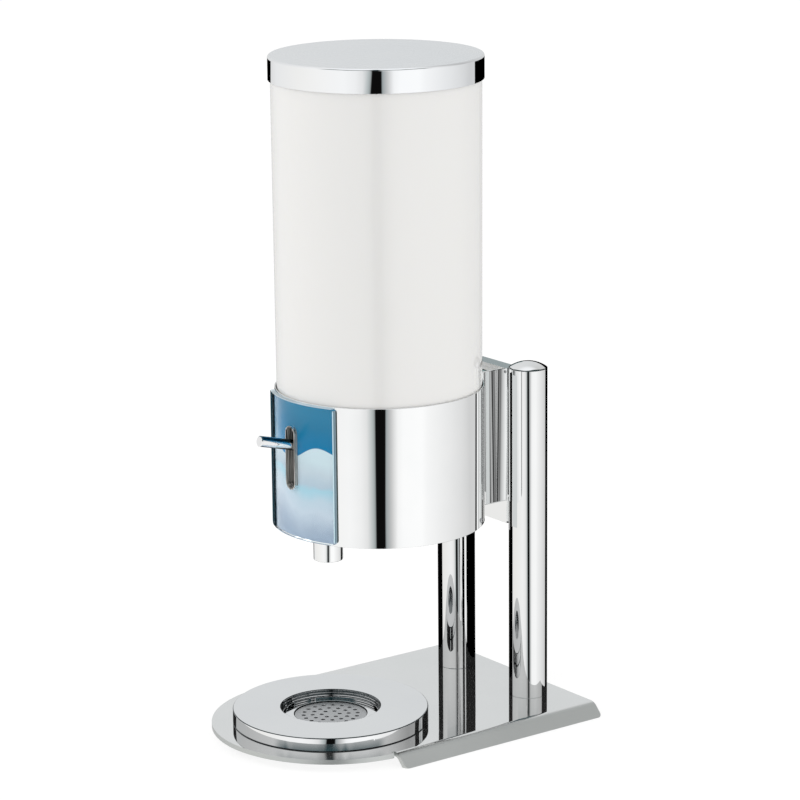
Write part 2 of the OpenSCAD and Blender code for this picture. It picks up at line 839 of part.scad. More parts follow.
module silicone_hose() {
  foot_z = spout_bottom_z + hose_end_up;
  low_z = nip_z - nip_flat_h / 2 - nip_run;
  high_z = nip_z + nip_flat_h / 2 + nip_run;
  color("#e9e7df") on_pour_axis() difference() {
    union() {
      translate([0, 0, foot_z]) cylinder(r = hose_r, h = low_z - foot_z);
      translate([0, 0, high_z]) cylinder(r = hose_r, h = deck_top_z - high_z + 0.5);
      translate([0, 0, deck_top_z]) cylinder(r = hose_flange_r, h = hose_flange_h);
      translate([0, 0, nip_z]) cube([hose_flat_w, hose_flat_t, nip_flat_h], center = true);
      for (way = [-1, 1]) translate([0, 0, nip_z]) hull() {
        translate([0, 0, way * (nip_flat_h / 2 + nip_run)])
          cylinder(r = hose_r, h = 0.1, center = true, $fn = 32);
        translate([0, 0, way * nip_flat_h / 2])
          cube([hose_flat_w, hose_flat_t, 0.1], center = true);
      }
    }
    translate([0, 0, foot_z - 1]) cylinder(r = hose_bore / 2, h = low_z - foot_z + 1);
    translate([0, 0, high_z]) cylinder(r = hose_bore / 2, h = deck_top_z);
  }
}

module spout() {
  top_z = floor_top_z + spout_nut_h + 2;
  color("#dde0e2") on_pour_axis() difference() {
    union() {
      translate([0, 0, spout_bottom_z]) cylinder(r = spout_r, h = top_z - spout_bottom_z);
      translate([0, 0, floor_z - spout_collar_h])
        cylinder(r = spout_collar_r, h = spout_collar_h);
    }
    translate([0, 0, spout_bottom_z - 1]) cylinder(r = spout_r - spout_wall, h = housing_h);
  }
}

module spout_nut() {
  color("#a9acaf") on_pour_axis() translate([0, 0, floor_top_z])
    ring(spout_r + 2.5, spout_r + running_gap, spout_nut_h);
}

// Lever ------------------------------------------------------------------------------------

// A flat link in the YZ plane from the pivot to (y, z) seen from the pivot.
module hub_link(y, z, w, h) {
  rotate([atan2(z, y), 0, 0]) translate([-w / 2, 0, -h / 2]) cube([w, norm([y, z]), h]);
}

module lever_hub() {
  to_nip = [nip_bar_y - pivot_y, nip_z - pivot_z];
  arm_x = hub_arm_in + hub_arm_w / 2;
  color("#9fa3a6") difference() {
    union() {
      lever_frame() {
        x_rod(barrel_r, frame_gap - 2 * loose_gap);
        for (side = [-1, 1]) translate([side * arm_x, 0, 0])
          x_box(hub_arm_w, -yoke_front, -hub_arm_h / 2, 0, hub_arm_h / 2);
        x_box(2 * hub_half_w, -yoke_front, -yoke_h / 2, -yoke_back, yoke_h / 2);
        x_box(tail_w, 0, -tail_t / 2, spring_back + spring_pad_r, tail_t / 2);
      }
      translate([0, pivot_y, pivot_z]) {
        for (side = [-1, 1]) translate([side * arm_x, 0, 0])
          hub_link(to_nip[0], to_nip[1], hub_arm_w, 2 * nip_bar_r + 1);
        translate([0, to_nip[0], to_nip[1]]) x_rod(nip_bar_r, 2 * hub_half_w + 1);
      }
      translate([0, spring_y, spring_pad_z - 4]) cylinder(r = spring_pad_r, h = 4);
    }
    translate([0, pivot_y, pivot_z]) x_rod(pivot_r + running_gap, frame_gap);
    lever_frame() translate([0, -lever_root, 0]) rotate([90, 0, 0])
      cylinder(r = lever_r + running_gap, h = yoke_front);
  }
}

module lever_rod() {
  c = lever_chamfer;
  color("#dfe2e4") lever_frame() translate([0, -lever_root, 0]) rotate([90, 0, 0]) {
    cylinder(r = lever_r, h = lever_tip - lever_root - c);
    translate([0, 0, lever_tip - lever_root - c]) cylinder(r1 = lever_r, r2 = lever_r - c, h = c);
  }
}

module lever_lock_nut() {
  color("#8b8e91") lever_frame() translate([0, -yoke_front, 0]) rotate([90, 0, 0])
    difference() {
      cylinder(r = lock_nut_r, h = lock_nut_t, $fn = 6);
      translate([0, 0, -1]) cylinder(r = lever_r + running_gap, h = lock_nut_t + 2);
    }
}

// Tank ---------------------------------------------------------------------------------------

module tank() {
  color("#f2f1ee") difference() {
    on_tank_axis() translate([0, 0, tank_z]) difference() {
      cylinder(r1 = tank_foot_r, r2 = tank_rim_r, h = tank_h, $fn = 180);
      translate([0, 0, tank_floor_t])
        cylinder(r1 = tank_foot_r - tank_wall, r2 = tank_rim_r - tank_wall, h = tank_h, $fn = 180);
    }
    on_pour_axis() cylinder(r = outlet_r + running_gap, h = tank_floor_z + 1);
  }
}

module outlet_fitting() {
  color("#dcdad4") on_pour_axis() difference() {
    union() {
      translate([0, 0, tank_floor_z]) cylinder(r = outlet_flange_r, h = outlet_flange_t);
      translate([0, 0, outlet_barrel_z]) cylinder(r = outlet_r, h = tank_floor_z - outlet_barrel_z + 0.5);
      translate([0, 0, spigot_end_z]) cylinder(r = spigot_r, h = outlet_barrel_z - spigot_end_z + 0.5);
    }
    translate([0, 0, spigot_end_z - 1]) cylinder(r = spigot_r - 1, h = tank_h);
  }
}

module outlet_nut() {
  color("#dcdad4") on_pour_axis() translate([0, 0, tank_z - seal_t - outlet_nut_h])
    ring(outlet_nut_r, outlet_r + running_gap, outlet_nut_h);
}

module outlet_seal() {
  color("#3a3c3e") on_pour_axis() translate([0, 0, tank_z - seal_t])
    ring(outlet_nut_r - 1, outlet_r + running_gap, seal_t);
}

// Lid ----------------------------------------------------------------------------------------

// Half cross-section of the lid: crowned top, rounded edge, straight rim, open below.
function lid_profile() =
  let (
    e = lid_edge_r,
    crown_z = lid_top_z + lid_crown,
    edge = [for (i = [0 : 8]) let (a = 90 - i * 90 / 8)
      [lid_r - e + e * cos(a), lid_top_z - e + e * sin(a)]],
    top = [for (i = [0 : 6]) let (x = (lid_r - e) * i / 6)
      [x, crown_z - lid_crown * pow(x / (lid_r - e), 2)]]
  )
  concat(
    top,
    [for (i = [1 : 8]) edge[i]],
    [[lid_r, lid_rim_z], [lid_r - lid_t, lid_rim_z], [lid_r - lid_t, lid_top_z - lid_t],
      [0, lid_top_z - lid_t]]
  );

module lid() {
  color("#e2e4e6") on_tank_axis() rotate_extrude($fn = 180) polygon(lid_profile());
}

module lid_liner() {
  flange_r = lid_r - lid_t - loose_gap;
  color("#eceae6") on_tank_axis() {
    translate([0, 0, tank_rim_z]) cylinder(r = flange_r, h = liner_flange_t, $fn = 180);
    translate([0, 0, tank_rim_z - liner_skirt_h])
      ring(liner_skirt_r, liner_skirt_r - liner_skirt_t, liner_skirt_h + 0.5, $fn = 180);
    translate([0, 0, tank_rim_z - socket_h])
      ring(ice_r + running_gap + socket_t, ice_r + running_gap, socket_h + 0.5);
  }
}

module ice_tube() {
  color("#c8ccd0") on_tank_axis() translate([0, 0, ice_z]) difference() {
    cylinder(r = ice_r, h = tank_rim_z - ice_z);
    translate([0, 0, ice_wall]) cylinder(r = ice_r - ice_wall, h = tank_h);
  }
}

// Drip tray ----------------------------------------------------------------------------------

module drip_dish() {
  color("#c3c6c8") on_pour_axis() translate([0, 0, base_top_z]) {
    difference() {
      cylinder(r = dish_r, h = dish_h, $fn = 180);
      translate([0, 0, dish_t]) cylinder(r = dish_r - dish_t, h = dish_h, $fn = 180);
    }
    ring(rib_r, rib_r - rib_t, sieve_z - base_top_z);
  }
}

// Half cross-section of the cover: skirt, rounded edge, flat top, stepped recess, floor ring.
function cover_profile() =
  let (
    e = cover_edge_r,
    t = cover_t,
    top = tray_top_z,
    low = recess_floor_z,
    n = recess_steps,
    step_h = (top - low) / n,
    step_w = (recess_r - recess_foot_r) / n,
    edge = [for (i = [0 : 6]) let (a = i * 90 / 6)
      [tray_r - e + e * cos(a), top - e + e * sin(a)]],
    steps = [for (i = [0 : n - 1])
      each [[recess_r - i * step_w, top - i * step_h],
        [recess_r - i * step_w, top - (i + 0.75) * step_h],
        [recess_r - (i + 1) * step_w, top - (i + 1) * step_h]]]
  )
  concat(
    [[tray_r - t, base_top_z + cover_foot_gap], [tray_r, base_top_z + cover_foot_gap]],
    edge,
    steps,
    [[well_r, low], [well_r, low - t], [recess_foot_r + t, low - t],
      [recess_r + t, top - t], [tray_r - t, top - t]]
  );

module drip_cover() {
  color("#dfe2e4") on_pour_axis() rotate_extrude($fn = 180) polygon(cover_profile());
}

module drip_sieve() {
  color("#b4b7b9") on_pour_axis() translate([0, 0, sieve_z]) difference() {
    cylinder(r = sieve_r, h = sieve_t);
    for (i = [0 : len(sieve_rings) - 1], k = [0 : sieve_rings[i] - 1])
      rotate([0, 0, 360 * k / sieve_rings[i]]) translate([(i + 1) * sieve_pitch, 0, -1])
        cylinder(r = sieve_hole_r, h = sieve_t + 2, $fn = 24);
  }
}

base_plate();
rubber_feet();
column_left();
column_right();
column_caps();
column_plugs();
column_screws();
carrier_plate();
carrier_studs();
bracket();
bracket_screws();
clamp_bar();
housing_shell();
housing_floor();
deck();
deck_posts();
deck_screws();
floor_screws();
seat_ring();
front_panel();
panel_foil();
slot_liner();
valve_frame();
frame_screws();
anvil_bar();
pivot_pin();
pivot_clips();
return_spring();
silicone_hose();
spout();
spout_nut();
lever_hub();
lever_rod();
lever_lock_nut();
tank();
outlet_fitting();
outlet_nut();
outlet_seal();
lid();
lid_liner();
ice_tube();
drip_dish();
drip_cover();
drip_sieve();
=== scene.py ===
"""Table-top drinks dispenser: finishes, small detail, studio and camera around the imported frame.

Everything is in metres in the frame's axes: +Z up, the front faces -Y, the table is z = 0.
"""
import json
import math

import bpy
from mathutils import Matrix, Vector


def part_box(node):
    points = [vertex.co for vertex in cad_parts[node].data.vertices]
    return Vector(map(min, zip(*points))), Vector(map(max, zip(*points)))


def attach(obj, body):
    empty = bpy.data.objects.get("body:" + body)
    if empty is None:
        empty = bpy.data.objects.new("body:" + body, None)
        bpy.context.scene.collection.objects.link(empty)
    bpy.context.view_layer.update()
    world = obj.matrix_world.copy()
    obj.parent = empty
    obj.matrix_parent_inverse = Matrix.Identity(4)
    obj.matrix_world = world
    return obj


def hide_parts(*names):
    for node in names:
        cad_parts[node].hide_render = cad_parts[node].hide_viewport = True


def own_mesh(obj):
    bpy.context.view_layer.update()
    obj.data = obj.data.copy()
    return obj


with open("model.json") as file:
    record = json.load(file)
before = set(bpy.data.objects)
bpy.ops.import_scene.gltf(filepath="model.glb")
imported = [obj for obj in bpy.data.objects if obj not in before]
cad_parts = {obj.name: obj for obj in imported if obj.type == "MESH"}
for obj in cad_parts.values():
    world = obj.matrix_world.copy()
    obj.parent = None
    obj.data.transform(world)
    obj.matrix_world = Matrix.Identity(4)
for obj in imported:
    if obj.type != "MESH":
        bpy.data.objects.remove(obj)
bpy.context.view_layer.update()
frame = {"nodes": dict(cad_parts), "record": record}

MM = 0.001

# Camera: the angles that it looks from, its distance from the point it looks at, and its lens
CAM_AZIMUTH, CAM_ELEVATION, CAM_ROLL = 53.56, 13.97, -0.54
CAM_TARGET = Vector((10.58, 15.93, 272.34)) * MM
CAM_DISTANCE = 2665.3 * MM
CAM_LENS, CAM_SENSOR = 147.6, 36.0


# Node helpers ---------------------------------------------------------------------------------

class Graph:
    """Adds nodes to a tree and wires them: each call takes sockets or plain values by name."""

    def __init__(self, tree):
        self.tree = tree
        tree.nodes.clear()

    def add(self, kind, inputs=None, **settings):
        node = self.tree.nodes.new(kind)
        for name, value in settings.items():
            setattr(node, name, value)
        for key, value in (inputs or {}).items():
            self.put(node.inputs[key], value)
        return node

    def put(self, socket, value):
        if isinstance(value, bpy.types.NodeSocket):
            self.tree.links.new(value, socket)
        else:
            socket.default_value = value

    def math(self, operation, a, b=0.0):
        return self.add("ShaderNodeMath", {0: a, 1: b}, operation=operation).outputs[0]

    def vector(self, operation, a, b=(0.0, 0.0, 0.0)):
        return self.add("ShaderNodeVectorMath", {0: a, 1: b}, operation=operation)

    def component(self, vector, axis):
        return self.add("ShaderNodeSeparateXYZ", {0: vector}).outputs[axis]

    def ramp(self, value, stops):
        """Blends from stop to stop: each is a value and its colour."""
        node = self.add("ShaderNodeValToRGB", {0: value})
        elements = node.color_ramp.elements
        while len(elements) > 1:
            elements.remove(elements[0])
        for i, (at, colour) in enumerate(stops):
            element = elements[0] if i == 0 else elements.new(at)
            element.position = at
            element.color = (*colour, 1.0)
        return node.outputs["Color"]

    def mix(self, factor, a, b, blend="MIX"):
        node = self.add("ShaderNodeMix", {"Factor": factor}, data_type="RGBA", blend_type=blend)
        self.put(node.inputs[6], a)
        self.put(node.inputs[7], b)
        return node.outputs[2]

    def smooth(self, value, low, high):
        node = self.add("ShaderNodeMapRange", {"Value": value, "From Min": low, "From Max": high},
                        interpolation_type="SMOOTHSTEP")
        return node.outputs["Result"]

    def between(self, value, low, high, soft):
        """1 where a value lies between two others, with soft ends."""
        rise = self.smooth(value, low, low + soft)
        fall = self.smooth(value, high - soft, high)
        return self.math("MULTIPLY", rise, self.math("SUBTRACT", 1.0, fall))

    def mirrored_again(self, path):
        """1 for what metal shows of other metal's reflection."""
        return self.math("GREATER_THAN", path.outputs["Glossy Depth"], 1.5)


def grey(level, tint=(1.0, 1.0, 1.0)):
    return tuple(level * t for t in tint)


def tank_axis():
    """The middle of the tank's box."""
    low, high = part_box("tank")
    return (low + high) / 2


# Studio ---------------------------------------------------------------------------------------

# What polished metal mirrors below and above the horizon, by the angle in degrees from the way
# to the camera, growing towards the camera's right: white screens all round, greyer behind the
# object, with a dark gap where the camera stands.
SCREENS_BELOW = [
    (-180, grey(0.66)), (-150, grey(0.72)), (-130, grey(0.82)),
    (-90, grey(0.88, (1.0, 0.99, 0.97))), (-34, grey(0.94)), (-27, grey(0.91)), (-21, grey(0.88)),
    (-14, grey(0.78)), (-7.5, grey(0.49, (0.92, 1.0, 1.0))), (-5.4, grey(0.33, (0.92, 1.0, 1.0))),
    (-4.6, grey(0.004)), (5.7, grey(0.004)), (6.6, grey(0.35, (0.9, 1.0, 1.02))),
    (12.3, grey(0.58)), (19, grey(0.93)), (25.6, grey(0.99)), (46, grey(1.0)), (54, grey(0.94)),
    (69, grey(0.88)), (86, grey(0.81)), (105, grey(0.72)), (117, grey(0.64)), (180, grey(0.66)),
]
SCREENS_ABOVE = [
    (-180, grey(0.70, (0.98, 1.0, 1.01))), (-110, grey(0.80)), (-45, grey(0.95)), (-16, grey(0.9)),
    (-7, grey(0.6)), (-3, grey(0.02)), (3, grey(0.02)), (7, grey(0.6)), (16, grey(0.93)),
    (45, grey(1.0)), (80, grey(0.75)), (104, grey(0.50)), (140, grey(0.60)),
    (180, grey(0.70, (0.98, 1.0, 1.01))),
]
ZENITH = (0.92, 0.93, 0.95, 1.0)
SEEN_AGAIN = [                           # the least that metal seen in other metal mirrors
    (-180, grey(0.46)), (-9, grey(0.70)), (-5, grey(0.42)), (-3, grey(0.62)), (-1, grey(0.16)),
    (0.6, grey(0.34)), (2, grey(0.10)), (4, grey(0.50)), (7, grey(0.74)), (14, grey(0.46)),
    (180, grey(0.46)),
]
CORNER_STRIPES = [                       # what the corner beside the bracket throws back
    (0.0, grey(0.96)), (0.04, grey(0.94)), (0.11, grey(0.72)), (0.17, grey(0.52)),
    (0.215, grey(0.22)), (0.235, grey(0.10)), (0.25, grey(0.34)), (0.265, grey(0.20)),
    (0.28, grey(0.0)), (0.30, grey(0.04)), (0.33, grey(0.50)), (0.36, grey(0.46)),
    (0.40, grey(0.12)), (0.47, grey(0.14)), (0.55, grey(0.30)), (0.7, grey(0.26)), (1.0, grey(0.40)),
]
DIMMED = 0.62                            # light from above the horizon, the second time round
DARK_CEILING = (0.015, 0.05, 0.06, 1.0)  # over the camera, for what rounded edges mirror
FILL_LEVEL = 0.86                        # light from all round on what isn't metal

FLOOR_REACH = 6.0                        # from the middle to each side
FLOOR_GLOW = 0.76                        # keeps the table near white around the soft shadow

# Where the cards stand: the line behind the stand, the line left of it, and their ends
BACK_Y, LEFT_X = 0.1684, -0.288
BACK_RIGHT_X, BACK_LEFT_X = 0.0675, -0.250
LEFT_REAR_Y, LEFT_FRONT_Y, PANEL_FRONT_Y = 0.187, -0.060, -0.105
CARD_FOOT, CARD_TOP = -1.2, 0.3135
SMALL_TOP = 0.26                         # of the cards that the panel and the corner mirror
FLAT_BLACK = (0.0, 0.0, 0.0, 1.0)


def screen_colours(g, path):
    """What the metal mirrors, by direction."""
    way = g.add("ShaderNodeTexCoord").outputs["Generated"]
    azimuth = math.radians(CAM_AZIMUTH)
    ahead = (math.sin(azimuth), -math.cos(azimuth), 0.0)
    aside = (math.cos(azimuth), math.sin(azimuth), 0.0)
    along = g.vector("DOT_PRODUCT", way, ahead).outputs["Value"]
    across = g.vector("DOT_PRODUCT", way, aside).outputs["Value"]
    turn = g.math("ADD", g.math("DIVIDE", g.math("ARCTAN2", across, along), 2 * math.pi), 0.5)
    ramps = (SCREENS_BELOW, SCREENS_ABOVE, SEEN_AGAIN)
    below, above, least = (g.ramp(turn, [((a + 180) / 360, c) for a, c in ramp]) for ramp in ramps)
    height = g.component(way, "Z")

    again = g.mirrored_again(path)
    filled = g.mix(again, below, least, "LIGHTEN")
    dimmed = g.mix(again, above, (*grey(DIMMED), 1.0), "MULTIPLY")
    colours = g.mix(g.smooth(height, -0.03, 0.03), filled, dimmed)
    colours = g.mix(g.smooth(height, 0.80, 0.97), colours, ZENITH)
    in_front = g.smooth(along, 0.30, 0.50)
    ceiling = g.math("MULTIPLY", in_front, g.between(height, 0.32, 0.66, 0.06))
    return g.mix(ceiling, colours, DARK_CEILING)


def make_world():
    world = bpy.data.worlds.new("studio")
    bpy.context.scene.world = world
    world.use_nodes = True
    g = Graph(world.node_tree)
    path = g.add("ShaderNodeLightPath")
    mirrored = g.add("ShaderNodeBackground", {"Color": screen_colours(g, path), "Strength": 1.0})
    plain = g.add("ShaderNodeBackground", {"Color": (1.0, 1.0, 1.0, 1.0), "Strength": 1.0})
    fill = g.add("ShaderNodeBackground", {"Color": (1.0, 0.998, 0.992, 1.0), "Strength": FILL_LEVEL})
    seen = g.math("MAXIMUM", path.outputs["Is Camera Ray"], path.outputs["Is Transmission Ray"])
    lit = g.add("ShaderNodeMixShader", {0: path.outputs["Is Glossy Ray"], 1: fill.outputs[0],
                                        2: mirrored.outputs[0]})
    shown = g.add("ShaderNodeMixShader", {0: seen, 1: lit.outputs[0], 2: plain.outputs[0]})
    g.add("ShaderNodeOutputWorld", {"Surface": shown.outputs[0]})


def make_floor():
    mesh = bpy.data.meshes.new("floor")
    corners = [(x * FLOOR_REACH, y * FLOOR_REACH, 0) for x, y in ((-1, -1), (1, -1), (1, 1), (-1, 1))]
    mesh.from_pydata(corners, [], [(0, 1, 2, 3)])
    floor = bpy.data.objects.new("floor", mesh)
    bpy.context.scene.collection.objects.link(floor)
    material = bpy.data.materials.new("floor")
    material.use_nodes = True
    g = Graph(material.node_tree)
    shadowed = g.add("ShaderNodeBsdfDiffuse", {"Color": (0.30, 0.30, 0.30, 1.0)})
    glow = g.add("ShaderNodeEmission", {"Color": (1.0, 1.0, 1.0, 1.0), "Strength": FLOOR_GLOW})
    both = g.add("ShaderNodeAddShader", {0: shadowed.outputs[0], 1: glow.outputs[0]})
    g.add("ShaderNodeOutputMaterial", {"Surface": both.outputs[0]})
    mesh.materials.append(material)
    floor.visible_glossy = False


def make_card(name, plan, low, high, colour=FLAT_BLACK, seen_by="all", stripes=None):
    """A card that only polished metal sees, standing upright along a line of plan points.

    It is seen by "all" metal, by metal on its "front" side alone, or "again" by mirrored metal.
    Stripes are stops of colour from its first plan point to its last.
    """
    mesh = bpy.data.meshes.new(name)
    corners = [(x, y, z) for x, y in plan for z in (low, high)]
    panes = [(2 * i, 2 * i + 2, 2 * i + 3, 2 * i + 1) for i in range(len(plan) - 1)]
    mesh.from_pydata(corners, [], panes)
    card = bpy.data.objects.new(name, mesh)
    bpy.context.scene.collection.objects.link(card)
    material = bpy.data.materials.new(name)
    material.use_nodes = True
    g = Graph(material.node_tree)
    path = g.add("ShaderNodeLightPath")
    again = g.mirrored_again(path)
    seen = again
    if seen_by != "again":
        seen = g.math("MAXIMUM", path.outputs["Is Singular Ray"], again)
    if seen_by == "front":
        front = g.math("SUBTRACT", 1.0, g.add("ShaderNodeNewGeometry").outputs["Backfacing"])
        seen = g.math("MULTIPLY", seen, front)
    if stripes:
        start, end = plan[0][1], plan[-1][1]
        along = g.math("SUBTRACT", g.component(object_point(g), "Y"), start)
        along = g.math("DIVIDE", along, end - start)
        colour = g.ramp(along, stripes)
    glow = g.add("ShaderNodeEmission", {"Color": colour})
    clear = g.add("ShaderNodeBsdfTransparent")
    shown = g.add("ShaderNodeMixShader", {0: seen, 1: clear.outputs[0], 2: glow.outputs[0]})
    g.add("ShaderNodeOutputMaterial", {"Surface": shown.outputs[0]})
    mesh.materials.append(material)
    card.visible_camera = card.visible_diffuse = card.visible_shadow = False
    card.visible_transmission = False


def round_the_tank(radius, first, last, steps):
    """Plan points on an arc round the tank's axis, by the angle from the front towards +X."""
    middle = tank_axis()
    angles = [math.radians(first + (last - first) * i / steps) for i in range(steps + 1)]
    return [(middle.x + radius * math.sin(a), middle.y - radius * math.cos(a)) for a in angles]


def make_cards():
    """Cards behind and beside the stand, a far one for the lid, and small flags by the columns.

    They are black but for a teal one, a light one and a striped one.
    """
    left_rear, left_front = (LEFT_X, LEFT_REAR_Y), (LEFT_X, LEFT_FRONT_Y)
    back_right = (BACK_RIGHT_X, BACK_Y)
    make_card("card_back", (left_rear, (BACK_LEFT_X, BACK_Y), back_right), CARD_FOOT, CARD_TOP)
    make_card("card_left", (left_front, left_rear), CARD_FOOT, CARD_TOP)
    make_card("card_panel", ((LEFT_X, PANEL_FRONT_Y), left_front), 0.09, SMALL_TOP)
    make_card("card_lid", round_the_tank(3.0, 181.5, 266.2, 16), 0.085, 0.148)
    make_card("card_teal", ((-0.145, LEFT_REAR_Y), (-0.062, LEFT_REAR_Y)), CARD_TOP, 0.34,
              (0.22, 0.31, 0.31, 1.0))

    foot, carrier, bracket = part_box("column_right")[0].z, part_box("carrier_plate"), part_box("bracket")
    plate_foot, block_top = carrier[0].z, bracket[1].z
    beside = carrier[1].x + 1.0 * MM
    make_card("flag_between", ((0.0, 0.068), (0.0, 0.135)), foot, plate_foot - 15.0 * MM, seen_by="front")
    make_card("flag_left", ((-0.120, 0.027), (-0.120, 0.200)), -0.06, plate_foot, seen_by="front")
    make_card("flag_bracket", ((beside, 0.0942), (beside, 0.1020)), plate_foot - 7.0 * MM, block_top,
              seen_by="front")
    make_card("card_light", ((0.052, 0.098), (0.042, 0.098)), plate_foot, block_top,
              (0.67, 0.69, 0.69, 1.0), seen_by="front")
    make_card("card_beyond", (back_right, (0.100, BACK_Y)), -0.2, CARD_TOP, seen_by="again")
    make_card("card_corner", ((0.1806, -0.0295), (0.1806, 0.0145)), 0.08, SMALL_TOP, seen_by="again",
              stripes=CORNER_STRIPES)


def make_lamp(name, place, towards, size, power):
    lamp = bpy.data.lights.new(name, "AREA")
    lamp.shape = "RECTANGLE"
    lamp.size, lamp.size_y = size
    lamp.energy = power
    lamp_object = bpy.data.objects.new(name, lamp)
    lamp_object.location = place
    lamp_object.rotation_euler = (Vector(towards) - Vector(place)).to_track_quat("-Z", "Y").to_euler()
    lamp_object.visible_glossy = False
    bpy.context.scene.collection.objects.link(lamp_object)


def make_lights():
    middle = (0.0, 0.0, 0.3)
    make_lamp("key", (-1.6, -1.9, 1.7), middle, (1.2, 1.6), 14.0)
    make_lamp("rim", (1.9, 1.2, 1.4), middle, (1.0, 1.4), 6.0)


def make_camera():
    a, e, roll = (math.radians(v) for v in (CAM_AZIMUTH, CAM_ELEVATION, CAM_ROLL))
    back = Vector((math.sin(a) * math.cos(e), -math.cos(a) * math.cos(e), math.sin(e)))
    right = Vector((math.cos(a), math.sin(a), 0.0))
    up = back.cross(right)
    rolled_right = math.cos(roll) * right + math.sin(roll) * up
    rolled_up = math.cos(roll) * up - math.sin(roll) * right
    data = bpy.data.cameras.new("camera")
    data.lens, data.sensor_width = CAM_LENS, CAM_SENSOR
    data.clip_start, data.clip_end = 0.1, 30.0
    camera = bpy.data.objects.new("camera", data)
    turned = Matrix((rolled_right, rolled_up, back)).transposed().to_4x4()
    camera.matrix_world = Matrix.Translation(CAM_TARGET + back * CAM_DISTANCE) @ turned
    bpy.context.scene.collection.objects.link(camera)
    bpy.context.scene.camera = camera


# Materials ------------------------------------------------------------------------------------

def new_material(name):
    material = bpy.data.materials.new(name)
    material.use_nodes = True
    g = Graph(material.node_tree)
    shader = g.add("ShaderNodeBsdfPrincipled")
    g.add("ShaderNodeOutputMaterial", {"Surface": shader.outputs[0]})
    return material, g, shader


def object_point(g):
    return g.add("ShaderNodeTexCoord").outputs["Object"]


def noise(g, scale, detail=2.0, point=None):
    vector = object_point(g) if point is None else point
    return g.add("ShaderNodeTexNoise", {"Vector": vector, "Scale": scale, "Detail": detail}).outputs["Fac"]


def bump(g, height, strength, distance):
    node = g.add("ShaderNodeBump", {"Height": height, "Strength": strength, "Distance": distance})
    return node.outputs["Normal"]


def axis_distance(g, point):
    """How far a point lies from the tank's axis, in plan."""
    apart = g.vector("SUBTRACT", point, tank_axis()).outputs[0]
    flat = g.vector("MULTIPLY", apart, (1.0, 1.0, 0.0)).outputs[0]
    return g.vector("LENGTH", flat).outputs["Value"]


def upward(g):
    """How far a face looks up or down: 1 on a flat top, 0 on a wall."""
    normal = g.add("ShaderNodeNewGeometry").outputs["Normal"]
    return g.math("ABSOLUTE", g.component(normal, "Z"))


def chrome(name="chrome", level=0.975):
    """Mirror chrome with faint polishing haze."""
    material, g, shader = new_material(name)
    shader.inputs["Metallic"].default_value = 1.0
    haze = noise(g, 35.0, 4.0)
    low, high = grey(level - 0.01, (0.99, 1.0, 1.0)), grey(level + 0.01, (0.995, 1.0, 1.0))
    g.put(shader.inputs["Base Color"], g.ramp(haze, [(0.3, low), (0.7, high)]))
    shader.inputs["Roughness"].default_value = 0.0
    return material


def carrier_chrome():
    """Chromed plate with mirror walls, a satin top with a painted dark teal reflection, and a satin back.
    """
    material, g, shader = new_material("carrier_chrome")
    shader.inputs["Metallic"].default_value = 1.0
    flat = g.smooth(upward(g), 0.9, 0.98)
    cloud = noise(g, 30.0, 3.0)
    wall = g.ramp(cloud, [(0.3, (0.94, 0.95, 0.95)), (0.7, (0.955, 0.96, 0.96))])
    # painted reflection: the level top takes a dark teal colour for what it mirrors, the walls stay bright
    g.put(shader.inputs["Base Color"], g.mix(flat, wall, (0.24, 0.32, 0.33, 1.0)))
    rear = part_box("carrier_plate")[1].y
    back = g.smooth(g.component(object_point(g), "Y"), rear - 1.0 * MM, rear - 0.2 * MM)
    satin = g.math("MULTIPLY", back, g.math("ADD", 0.20, g.math("MULTIPLY", cloud, 0.1)))
    g.put(shader.inputs["Roughness"], g.math("MAXIMUM", g.math("MULTIPLY", flat, 0.15), satin))
    return material


def cap_chrome():
    """Chrome of the columns' caps, dark in the joint where they meet their tubes."""
    material, g, shader = new_material("cap_chrome")
    shader.inputs["Metallic"].default_value = 1.0
    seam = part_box("column_right")[1].z
    unevenness = g.math("MULTIPLY", g.math("SUBTRACT", noise(g, 120.0, 1.0), 0.5), 1.2 * MM)
    height = g.math("ADD", g.component(object_point(g), "Z"), unevenness)
    joint = g.between(height, seam - 0.5 * MM, seam + 0.8 * MM, 0.2 * MM)
    bright = g.ramp(noise(g, 35.0, 4.0), [(0.3, (0.955, 0.965, 0.965)), (0.7, (0.98, 0.985, 0.985))])
    g.put(shader.inputs["Base Color"], g.mix(joint, bright, (0.05, 0.07, 0.07, 1.0)))
    shader.inputs["Roughness"].default_value = 0.0
    return material


def satin_top_chrome():
    """Chromed sheet with a mirror wall and a finely spun satin top."""
    material, g, shader = new_material("spun_chrome")
    shader.inputs["Metallic"].default_value = 1.0
    top = g.smooth(upward(g), 0.9, 0.98)
    radius = axis_distance(g, object_point(g))
    lines = g.add("ShaderNodeTexNoise", {"W": radius, "Scale": 2500.0, "Detail": 1.0},
                  noise_dimensions="1D").outputs["Fac"]
    cloud = noise(g, 9.0, 3.0)
    colour = g.ramp(cloud, [(0.3, (0.93, 0.95, 0.97)), (0.7, (0.97, 0.98, 0.99))])
    g.put(shader.inputs["Base Color"], colour)
    satin = g.math("ADD", 0.20, g.math("MULTIPLY", lines, 0.12))
    g.put(shader.inputs["Roughness"], g.math("MULTIPLY", top, satin))
    return material


